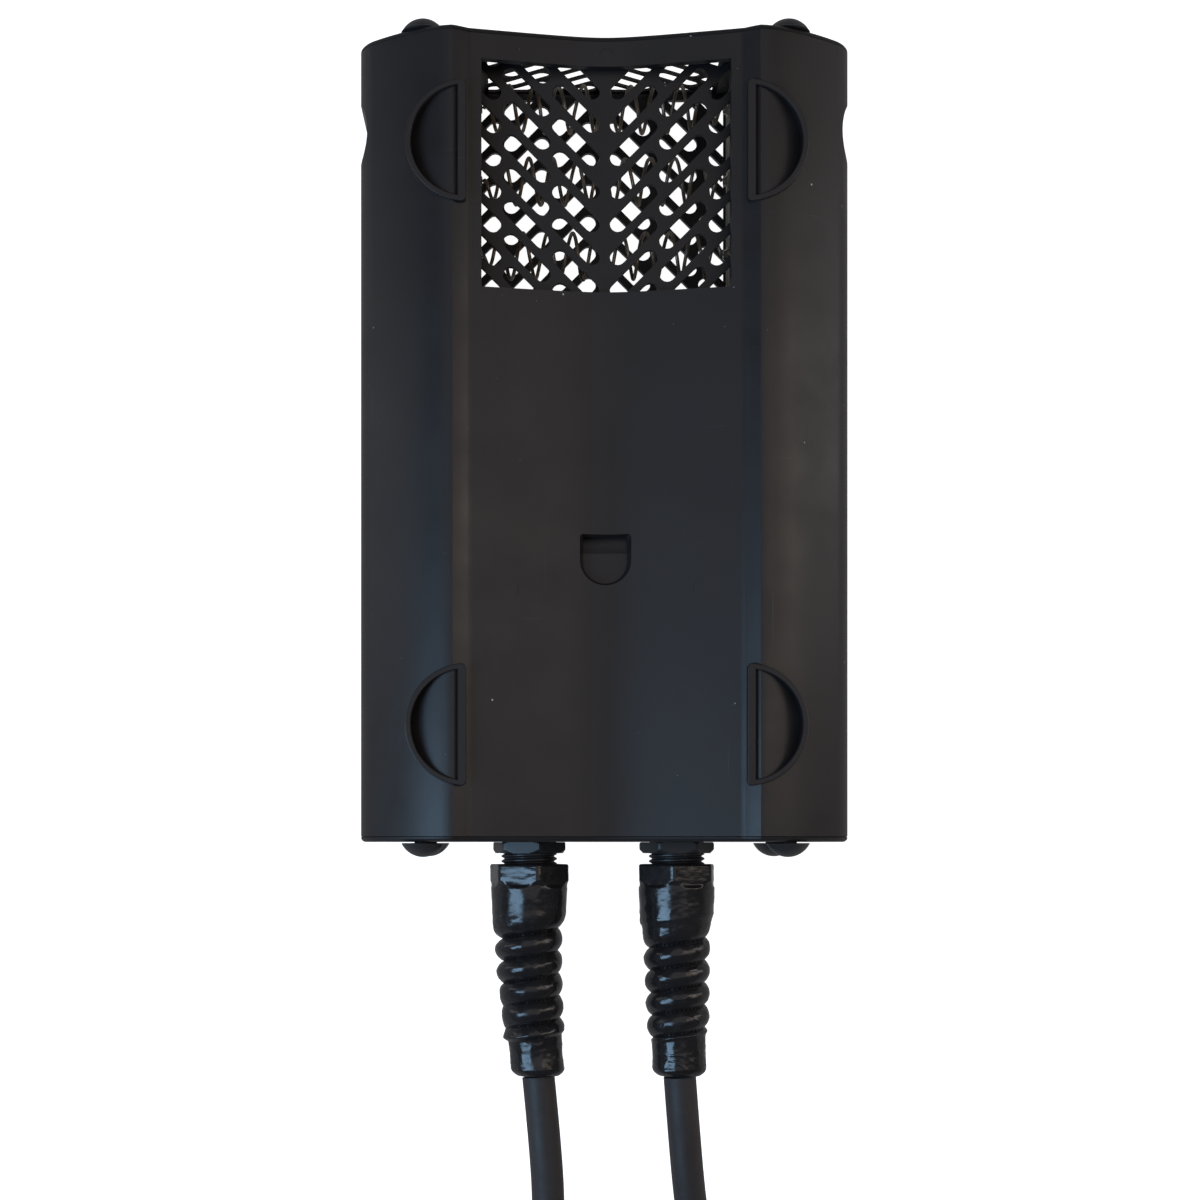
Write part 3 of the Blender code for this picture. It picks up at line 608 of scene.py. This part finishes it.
def stadium(ax, ay, bx, by, r, n=8):
    a = math.atan2(by - ay, bx - ax)
    pts = circle_pts(bx, by, r, n, a - math.pi / 2, a + math.pi / 2, False)
    pts += circle_pts(ax, ay, r, n, a + math.pi / 2, a + 3 * math.pi / 2, False)
    return pts


def area(poly):
    return abs(sum(p[0] * q[1] - q[0] * p[1] for p, q in zip(poly, poly[1:] + poly[:1]))) / 2


def chevron(phase, rise, pitch, lim, axis, z0, z1):
    bm = bmesh.new()
    for side in (-1, 1):
        for col in range(3):
            for k in range(-12, 20):
                xi = SLOT_IN + SLOT_COL * col
                yi = phase + rise * xi - pitch * k
                if rise in (-1, 1):
                    yi = phase + rise * SLOT_COL * col - pitch * k
                poly = stadium(side * xi, yi, side * (xi + SLOT_RUN), yi + rise * SLOT_RUN, SLOT_R)
                poly = clip_box(poly, *lim)
                if len(poly) > 2 and area(poly) > 9.0:
                    extrude_poly(bm, poly, axis, z0, z1)
    return bm


# ---- back shell --------------------------------------------------------------
def half_rings(base, top, soft):
    """The four standoff half rings, with their top edges eased by soft."""
    out = []
    for sx in (-1, 1):
        for sy in (-1, 1):
            rc = 1.4

            def outline(d, inner):
                if inner:
                    r = RING_R - RING_T + d
                    lim = math.acos((RING_BAR - d) / r)
                    pts = circle_pts(0.0, 0.0, r, 44, -lim, lim, False)
                    pts = pts + [(RING_BAR - d, -pts[0][1] * (1 - 2 * i / 8) * 1.0) for i in range(1, 8)]
                    return pts
                r = RING_R - d
                pts = circle_pts(0.0, 0.0, r, 48, -math.pi / 2 + 0.09, math.pi / 2 - 0.09, False)
                pts += circle_pts(rc, RING_R - rc, rc - d, 7, math.pi / 2, math.pi, False)
                pts += circle_pts(rc, -RING_R + rc, rc - d, 7, math.pi, 3 * math.pi / 2, False)
                return pts
            bm = bmesh.new()

            def place(pts):
                return [(sx * (RING_X + p[0]), sy * RING_Y + p[1]) for p in pts]
            draft_poly(bm, [(place(outline(0.0, False)), base), (place(outline(0.0, False)), top - soft),
                            (place(outline(soft * 0.35, False)), top - soft * 0.3), (place(outline(soft, False)), top)])
            inner = bmesh.new()
            draft_poly(inner, [(place(outline(0.0, True)), base - 1.0), (place(outline(0.0, True)), top - soft * 0.8),
                               (place(outline(soft * 0.8, True)), top + 0.02), (place(outline(soft * 0.8, True)), top + 1.0)])
            out.append((bm, inner))
    return out


def make_back_shell():
    top = [(x, z) for x, z in back_outer(SPLIT_Z + GAP / 2)]
    inner = [(SIDE_IN, SPLIT_Z + GAP / 2), (SIDE_IN, back_z(SIDE_IN) - WALL)]
    inner += [(x, back_z(x) - WALL) for x in reversed(back_xs()[::3]) if abs(x) < SIDE_IN - 1.0]
    inner += [(-SIDE_IN, back_z(SIDE_IN) - WALL), (-SIDE_IN, SPLIT_Z + GAP / 2)]
    bm = bmesh.new()
    extrude_poly(bm, top + inner, 'Y', -HALF_L + CAP_T + SEAM, HALF_L - CAP_T - SEAM)
    ob = add("case_back", bm, MAT_CASE, stands=("back_shell",))
    # boss behind the hook slot
    bm = bmesh.new()
    box(bm, -10.2, 10.2, -46.5, -17.5, 38.2, 45.0)
    cut(ob, [bm], 'UNION')
    # window through the shell
    bm = bmesh.new()
    box(bm, -WIN_X, WIN_X, WIN_Y0, WIN_Y1, 36.0, 60.0)
    cut(ob, [bm])
    # hook slot: drafted walls, a flat floor, a ramp and an undercut at the top
    d = 0.9

    def u_shape(i):
        w = HOOK_W - i
        n = 18
        cy = HOOK_Y0 + HOOK_W
        rc = 1.0
        pts = circle_pts(-w + rc, HOOK_Y1 - i - rc, rc, 4, math.pi / 2, math.pi, False)
        pts += circle_pts(0.0, cy, w, 2 * n, math.pi, 2 * math.pi, False)
        pts += circle_pts(w - rc, HOOK_Y1 - i - rc, rc, 4, 0.0, math.pi / 2, False)
        return pts
    bm = bmesh.new()
    draft_poly(bm, [(u_shape(d), HOOK_FLOOR + 1.2), (u_shape(0.12), 45.0), (u_shape(-0.25), 46.3), (u_shape(-0.25), 60.0)])
    cut(ob, [bm])
    bm = bmesh.new()
    k = bm.verts.new
    for sx in (-1, 1):
        for y, z in ((HOOK_Y1 - 5.1, HOOK_FLOOR + 1.12), (HOOK_Y1 - 1.4, HOOK_FLOOR), (-21.0, HOOK_FLOOR), (-21.0, 43.4), (HOOK_Y1 - 5.1, 43.4)):
            k((sx * (HOOK_W - d), y, z))
    bmesh.ops.convex_hull(bm, input=bm.verts)
    cut(ob, [bm])
    # half rings on the rails
    for ring, hole in half_rings(47.6, RING_TOP, 0.32):
        r = add("ring", ring, None, ride=False)
        cut(r, [hole])
        m = ob.modifiers.new("b", 'BOOLEAN')
        m.operation, m.solver, m.object = 'UNION', 'EXACT', r
        apply_modifiers(ob)
        bpy.data.objects.remove(r, do_unlink=True)
    bms = []
    for sx in (-1, 1):
        bm = bmesh.new()
        extrude_poly(bm, circle_pts(sx * (HALF_W + 16.4), 89.8, 18.6, 160), 'Z', -5.0, 60.0)
        bms.append(bm)
    cut(ob, bms)
    # ejector-pin witness marks
    bms = []
    for x, y, r in ((-27.3, -43.5, 2.6), (27.3, -43.0, 2.6), (0.3, 109.4, 2.0)):
        bm = bmesh.new()
        z = back_z(x)
        tilt = math.atan((back_z(x + 0.5) - back_z(x - 0.5)))
        bmesh.ops.create_cone(bm, cap_ends=True, segments=48, radius1=r, radius2=r, depth=0.24,
                              matrix=Matrix.Translation((x, y, z)) @ Matrix.Rotation(-tilt, 4, 'Y'))
        bms.append(bm)
    cut(ob, bms)
    finish_mesh(ob, 26.0)
    return ob


def make_front_shell():
    top = SPLIT_Z - GAP / 2
    inner = [(-SIDE_IN, top), (-SIDE_IN, 4.6), (-SIDE_IN + 2.0, WALL), (SIDE_IN - 2.0, WALL), (SIDE_IN, 4.6), (SIDE_IN, top)]
    bm = bmesh.new()
    extrude_poly(bm, front_outer(top) + inner, 'Y', -HALF_L + CAP_T + SEAM, HALF_L - CAP_T - SEAM)
    ob = add("case_front", bm, MAT_CASE, stands=("front_shell",))
    bm = bmesh.new()
    box(bm, -WIN_XF, WIN_XF, WIN_Y0, WIN_TOP, -5.0, 10.0)
    cut(ob, [bm])
    bms = []
    for sx in (-1, 1):
        bm = bmesh.new()
        extrude_poly(bm, circle_pts(sx * (HALF_W + 16.4), 89.8, 18.6, 160), 'Z', -5.0, 60.0)
        bms.append(bm)
    cut(ob, bms)
    finish_mesh(ob, 26.0)


def make_grilles():
    e = 0.35
    bm = bmesh.new()
    box(bm, -REAR_X, REAR_X, REAR_Y0, REAR_Y1, REAR_Z - GRILLE_T, REAR_Z)
    rear = add("grille_back", bm, MAT_GRILLE, stands=("rear_grille",))
    cut(rear, [chevron(REAR_PHASE, 1, SLOT_PITCH, (-35.9, 35.9, 42.2, 110.8), 'Z', 30.0, 56.0)])
    finish_mesh(rear, 26.0, 0.22, 2, 50.0)
    bm = bmesh.new()
    box(bm, -(WIN_XF - e), WIN_XF - e, WIN_Y0 + e, WIN_TOP - e, FRONT_Z - GRILLE_T, FRONT_Z)
    front = add("grille_front", bm, MAT_GRILLE, stands=("front_grille",))
    cut(front, [chevron(FRONT_PHASE, -1, SLOT_PITCH, (-37.5, 37.5, WIN_Y0 + 1.3, WIN_TOP - 1.2), 'Z', -4.0, 9.0)])
    finish_mesh(front, 26.0, 0.22, 2, 50.0)


def make_caps():
    outline = back_outer(SPLIT_Z) + front_outer(SPLIT_Z)[1:-1]

    def inset(pts, d):
        cx, cz = 0.0, 26.0
        out = []
        n = len(pts)
        for i in range(n):
            a, b = Vector(pts[i - 1]), Vector(pts[(i + 1) % n])
            t = (b - a).normalized()
            out.append((pts[i][0] + t.y * d, pts[i][1] - t.x * d))
        return out
    for name, y_in, y_out in (("top_cap", HALF_L - CAP_T, HALF_L), ("bottom_cap", -HALF_L + CAP_T, -HALF_L)):
        s = 1 if y_out > y_in else -1
        bm = bmesh.new()
        rows = [(inset(outline, 0.28), y_in), (outline, y_in + s * 0.28)]
        for k in range(1, 8):
            a = math.pi / 2 * k / 7
            rows.append((inset(outline, 1.45 * (1 - math.cos(a))), y_in + s * (0.30 + (CAP_T - 0.30) * math.sin(a))))
        vv = [[bm.verts.new((p[0], y, p[1])) for p in pts] for pts, y in rows]
        n = len(outline)
        for a, b in zip(vv, vv[1:]):
            for i in range(n):
                j = (i + 1) % n
                bm.faces.new((a[i], a[j], b[j], b[i]))
        bm.faces.new(vv[0])
        bm.faces.new(vv[-1])
        ob = add("end_plate_" + name.split("_")[0], bm, MAT_CAP, stands=(name,))
        bms = []
        bm = bmesh.new()
        for sx in (-1, 1):
            for z in BUMP_Z:
                extrude_poly(bm, circle_pts(sx * BUMP_X, z, 2.8, 32), 'Y', y_in - 3, y_in + 3)
            if name == "bottom_cap":
                extrude_poly(bm, circle_pts(sx * GLAND_X, GLAND_Z, 8.5, 64), 'Y', y_in - 3, y_in + 3)
        cuts = [bm]
        if name == "top_cap":
            cuts.append(chevron(TOP_PHASE, -TOP_RISE, TOP_PITCH, (-34.1, 34.1, 2.6, 33.4), 'Y', y_in - 3, y_in + 3))
            thin = bmesh.new()
            box(thin, -35.3, 35.3, y_in - 2, y_out - TOP_SKIN, 1.8, 34.6)
            cuts.append(thin)
        cut(ob, cuts)
        finish_mesh(ob, 26.0)


def make_bumpers():
    R = (BUMP_R ** 2 + BUMP_H ** 2) / (2 * BUMP_H)
    for ty, sy in (("top", 1), ("bottom", -1)):
        for tx, sx in (("left", -1), ("right", 1)):
            for tz, z in (("front", BUMP_Z[0]), ("rear", BUMP_Z[1])):
                prof = [(0.0, -3.6), (2.2, -3.6), (2.5, -3.3), (2.5, 0.3), (BUMP_R - 0.25, 0.3), (BUMP_R, 0.5)]
                amax = math.asin(min(1.0, BUMP_R / R))
                for i in range(1, 20):
                    a = amax * (1 - i / 20)
                    prof.append((R * math.sin(a), 0.3 + BUMP_H - R * (1 - math.cos(a))))
                prof.append((0.0, 0.3 + BUMP_H))
                bm = bmesh.new()
                vs = [bm.verts.new((sx * BUMP_X + r, sy * (HALF_L + h), z)) for r, h in prof]
                es = [bm.edges.new((a, b)) for a, b in zip(vs, vs[1:])]
                bmesh.ops.spin(bm, geom=vs + es, cent=(sx * BUMP_X, 0, z), axis=(0, 1, 0),
                               angle=2 * math.pi, steps=56, use_merge=True)
                bmesh.ops.remove_doubles(bm, verts=bm.verts, dist=1e-4)
                n = "end_bumper_%s_%s_%s" % (ty, tx, tz)
                add("bumper_%s_%s_%s" % (ty, tx, tz), bm, MAT_BUMP, True, 40, (n,))


# ---- glands and boots --------------------------------------------------------
def hex_r(theta, r, turn):
    """Hexagon of circumradius r with a corner turn radians right of the +Z side."""
    a = (theta - math.pi / 2 + turn) % (math.pi / 3) - math.pi / 6
    return r * math.cos(math.pi / 6) / math.cos(a)


def loft_y(name, ys, r_out, r_in, side, mat, stands, n=96, angle=32.0):
    """Open sleeve along Y round a gland's axis; r_out(theta, y) and r_in(y) in mm."""
    cx = side * GLAND_X
    bm = bmesh.new()
    outer, inner = [], []
    for y in ys:
        dx = cx + bend_x(y, side)
        o, q = [], []
        for i in range(n):
            th = 2 * math.pi * i / n
            r, ri = r_out(th, y), r_in(y)
            o.append(bm.verts.new((dx + r * math.cos(th), y, GLAND_Z + r * math.sin(th))))
            q.append(bm.verts.new((dx + ri * math.cos(th), y, GLAND_Z + ri * math.sin(th))))
        outer.append(o)
        inner.append(q)
    for a in range(len(ys) - 1):
        for i in range(n):
            j = (i + 1) % n
            bm.faces.new((outer[a][i], outer[a][j], outer[a + 1][j], outer[a + 1][i]))
            bm.faces.new((inner[a][j], inner[a][i], inner[a + 1][i], inner[a + 1][j]))
    for a in (0, len(ys) - 1):
        for i in range(n):
            j = (i + 1) % n
            bm.faces.new((outer[a][i], outer[a][j], inner[a][j], inner[a][i]))
    return add(name, bm, mat, True, angle, stands)


def span(a, b, n):
    return [a + (b - a) * i / n for i in range(n + 1)]


def make_glands():
    for tag, side in (("left", -1), ("right", 1)):
        turn_b = math.radians(16 if side < 0 else 28)
        turn_c = math.radians(13.3 if side < 0 else -8.4)
        # hex nut against the cap, chamfered below
        ys = [-115.04, -115.2] + span(-115.4, -117.2, 5) + span(-117.3, -118.3, 8)

        def nut(th, y, r=11.1, t=turn_b):
            rr = hex_r(th, r, t)
            cone = 11.05 - max(0.0, -117.1 - y) * 0.95
            top = 11.05 - max(0.0, y + 115.5) * 1.0
            return min(rr, cone, top)
        loft_y("base_nut_%s_fine" % tag, ys, nut, lambda y: 8.45, side, MAT_GLAND,
               ("base_nut_" + tag,), 120, 24.0)
        # threaded tube
        pitch = 1.5

        def thread(th, y):
            if y > -118.4 or y < -127.0:
                return 8.0 if y > -118.4 else 7.6
            ph = ((y + 118.4) / pitch + (th - math.pi) / (2 * math.pi)) % 1.0
            tri = 1 - abs(2 * ph - 1)
            return 7.35 + 0.85 * min(1.0, max(0.0, (tri - 0.12) / 0.62))
        ys = [-106.0, -112.0, -118.35] + span(-118.45, -123.0, 60) + [-128.0]
        loft_y("gland_thread_" + tag, ys, thread, lambda y: 5.25, side, MAT_GLAND,
               ("gland_tube_" + tag,), 72, 50.0)
        # shrink film over the cap nut, the spiral guard and the end ring
        yc = -146.8 if side < 0 else -149.5
        p = 6.6
        seed = 3.7 * side

        def film(th, y, t=turn_c, yc=yc, side=side, seed=seed):
            d = -121.5 - y
            h = hex_r(th, 12.25, t)
            h = min(h, 12.0)
            lip = min(1.0, d / 0.5)
            cyl = 11.25 - 0.40 * step((d - 6) / 10)
            # hexagon above, printed through the film, cylinder below it
            w = 1 - step((d - 5.0) / 1.6)
            flat = min(1.0, max(0.0, (12.25 - h) / 1.5))
            edge = 5.2 + 1.5 * flat
            w = 1 - step((d - edge + 0.8) / 1.2)
            body = h * w + cyl * (1 - w)
            body = body - 0.35 * (1 - lip)
            # shoulder into the neck
            neck_y = -141.6 + 1.2 * math.cos(th)
            k = step((neck_y + 4.6 - y) / 5.2)
            along = (yc - y) / p
            base = 9.05 - 0.75 * min(1.0, max(0.0, (-143 - y) / 28.0))
            ph = 2 * math.pi * (y - yc) / p + th - math.pi
            lobe = 2 * abs(math.cos(ph / 2)) ** 0.6 - 1.1
            amp = 1.0 * (1.0 if side > 0 else (1.12 - 0.30 * math.cos(th)))
            bulge = base + amp * lobe
            if side < 0:
                # lower turns are bridged by a fold of film on the left
                bridge = step((-154.0 - y) / 6.0) * step((y + 174.0) / 5.0) * max(0.0, -math.cos(th - 0.35)) ** 0.8
                bulge = bulge * (1 - 0.75 * bridge) + (base + 0.62) * 0.75 * bridge
            r = body * (1 - k) + bulge * k
            # end ring
            k2 = step((-171.3 + 1.1 * math.cos(th) - y) / 1.6)
            ring = 8.05 + 0.22 * math.sin((y + 172) / 11.0 * math.pi)
            r = r * (1 - k2) + ring * k2
            tail = max(0.0, (-181.4 - y) / 2.35)
            r -= 1.9 * tail ** 2.2
            q = Vector((math.cos(th) * 2.0, math.sin(th) * 2.0, y * 0.28 + seed))
            r += 0.13 * noise.noise(q) + 0.06 * noise.noise(q * 2.9)
            fold = noise.noise(Vector((math.cos(th) * 1.2 + y * 0.09, math.sin(th) * 1.2, y * 0.16 - seed)))
            r += 0.10 * max(0.0, 1 - abs(fold) / 0.06) * step((d - 9) / 6)
            return r

        def bore(y):
            return 10.15 if y > -127.4 else (9.2 if y > -131 else (8.5 if y > -136.5 else 5.4))
        ys = span(-121.5, -128.5, 34) + span(-128.7, -138.0, 26)[0:] + span(-138.2, -172.6, 190) + span(-172.8, -183.75, 44)
        # the bore steps only where the film is thick enough

        def bore_safe(y):
            if y > -127.2:
                return 8.9
            if y > -134.0:
                return 8.4
            if y > -138.0:
                return 7.2
            return 5.45
        loft_y("shrink_film_" + tag, ys, film, bore_safe, side, MAT_FILM,
               ("shrink_sleeve_" + tag, "bend_guard_" + tag, "end_ring_" + tag), 132, 60.0)


# ---- the wire coils ----------------------------------------------------------
def make_coils():
    for i, y in enumerate(COIL_ROWS):
        x0, x1 = -35.2, 35.2
        turns = (x1 - x0) / COIL_PITCH
        pts = []
        n = int(turns * 44)
        rnd = random.Random(11 + i)
        wob = [rnd.uniform(-1, 1) for _ in range(40)]
        for k in range(n + 1):
            t = k / n
            e = min(t, 1 - t) * turns / 0.6
            r = COIL_R * (1.0 if e >= 1 else math.sin(e * math.pi / 2))
            a = 2 * math.pi * turns * t + i * 1.3
            u = t * (len(wob) - 1)
            j = min(int(u), len(wob) - 2)
            w = wob[j] * (1 - (u - j)) + wob[j + 1] * (u - j)
            env = math.sin(math.pi * t)
            pts.append((x0 + (x1 - x0) * t + 0.35 * w * env, y + r * math.cos(a) - 0.35 * env + 0.10 * w,
                        COIL_Z + r * math.sin(a)))
        ob = make_tube("wire_coil_%d" % (i + 1), pts, WIRE_R, 10)
        ob.data.materials.append(MAT_WIRE)
        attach(ob, "root")
        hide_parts("resistance_coil_%d" % (i + 1))
    for tag, s in (("left", -1), ("right", 1)):
        for i, y in enumerate(COIL_ROWS):
            prof = [(0.0, 35.6), (1.2, 35.6), (1.5, 35.9), (1.9, 36.6), (2.5, 36.9), (2.5, 38.9), (2.2, 39.2),
                    (2.2, 41.9), (2.45, 42.2), (2.45, 43.3), (2.2, 43.6), (0.0, 43.6)]
            bm = bmesh.new()
            vs = [bm.verts.new((s * h, y + r, COIL_Z)) for r, h in prof]
            es = [bm.edges.new((a, b)) for a, b in zip(vs, vs[1:])]
            bmesh.ops.spin(bm, geom=vs + es, cent=(0, y, COIL_Z), axis=(1, 0, 0), angle=2 * math.pi, steps=32, use_merge=True)
            bmesh.ops.remove_doubles(bm, verts=bm.verts, dist=1e-4)
            n = "ferrule_%s_%d" % (tag, i + 1)
            add("crimp_%s_%d" % (tag, i + 1), bm, MAT_STEEL, True, 35, (n,))


make_back_shell()
make_front_shell()
make_grilles()
make_caps()
make_bumpers()
make_glands()
make_coils()
for tag in CORDS:
    CORDS[tag][0].data.materials.append(MAT_RUBBER)

# the CAD nodes that stay, with their finishes
for name, ob in NODES.items():
    m = None
    if name.startswith(("lock_nut", "gland_cap")):
        m = MAT_GLAND
    elif name.startswith(("lead_inner", "jumper")):
        m = MAT_RUBBER
    elif name.startswith(("series_link", "terminal_screw", "thermal")):
        m = MAT_STEEL
    elif name.startswith("element_plate"):
        m = MAT_BOARD
    elif name == "terminal_block":
        m = MAT_CERAM
    elif name == "heat_shield":
        m = MAT_SHIELD
    if m is not None:
        for i in range(max(1, len(ob.material_slots))):
            if ob.material_slots:
                ob.material_slots[i].material = m
            else:
                ob.data.materials.append(m)

# ---- floor, light ------------------------------------------------------------
fl = bpy.data.meshes.new("floor")
fl.from_pydata([(-3, -3, -0.0004), (3, -3, -0.0004), (3, 3, -0.0004), (-3, 3, -0.0004)], [], [(0, 1, 2, 3)])
floor = bpy.data.objects.new("floor", fl)
SCENE.collection.objects.link(floor)
fm = bpy.data.materials.new("light_table")
fm.use_nodes = True
fb = fm.node_tree.nodes["Principled BSDF"]
fb.inputs["Base Color"].default_value = (0.8, 0.8, 0.8, 1)
fb.inputs["Roughness"].default_value = 0.6
fb.inputs["Emission Color"].default_value = (1.0, 1.0, 1.0, 1)
fb.inputs["Emission Strength"].default_value = 1.0
fl.materials.append(fm)
floor.visible_glossy = False


def area_light(name, loc, aim, size, power, color):
    ld = bpy.data.lights.new(name, 'AREA')
    ld.shape = 'RECTANGLE'
    ld.size, ld.size_y = size
    ld.energy = power
    ld.color = color
    ob = bpy.data.objects.new(name, ld)
    SCENE.collection.objects.link(ob)
    ob.location = Vector(loc)
    ob.rotation_euler = (Vector(aim) - Vector(loc)).to_track_quat('-Z', 'Y').to_euler()
    return ob


area_light("window_left", (-0.70, -0.26, 0.78), (0.0, -0.10, 0.04), (0.34, 0.66), 5.3, (0.42, 0.69, 1.0))
area_light("lamp_right", (0.80, 0.14, 0.84), (0.0, 0.02, 0.04), (0.40, 0.90), 1.5, (1.0, 0.85, 0.72))
area_light("edge_right", (1.12, 0.25, 0.34), (0.0, 0.0, 0.04), (0.25, 0.9), 1.2, (1.0, 0.95, 0.92))
area_light("edge_left", (-1.15, 0.20, 0.30), (0.0, 0.0, 0.04), (0.25, 0.9), 0.6, (1.0, 0.94, 0.92))
area_light("fill_top", (0.05, 0.28, 1.42), (0.0, 0.0, 0.04), (1.5, 1.2), 2.4, (1.0, 0.91, 0.89))

# an even room: darker above, paler from the table below
world = bpy.data.worlds.new("room")
world.use_nodes = True
wt = world.node_tree
bg = wt.nodes["Background"]
co = wt.nodes.new("ShaderNodeTexCoord")
sx = wt.nodes.new("ShaderNodeSeparateXYZ")
rp = wt.nodes.new("ShaderNodeValToRGB")
wt.links.new(co.outputs["Generated"], sx.inputs[0])
ma = wt.nodes.new("ShaderNodeMath")
ma.operation = 'MULTIPLY_ADD'
ma.inputs[1].default_value = 0.5
ma.inputs[2].default_value = 0.5
wt.links.new(sx.outputs["Z"], ma.inputs[0])
wt.links.new(ma.outputs[0], rp.inputs["Fac"])
rp.color_ramp.elements[0].position = 0.44
rp.color_ramp.elements[0].color = (0.26, 0.26, 0.27, 1)
rp.color_ramp.elements[1].position = 0.60
rp.color_ramp.elements[1].color = (0.085, 0.084, 0.088, 1)
wt.links.new(rp.outputs["Color"], bg.inputs["Color"])
bg.inputs["Strength"].default_value = 1.0
SCENE.world = world
SCENE.view_settings.view_transform = 'Standard'
SCENE.view_settings.look = 'None'
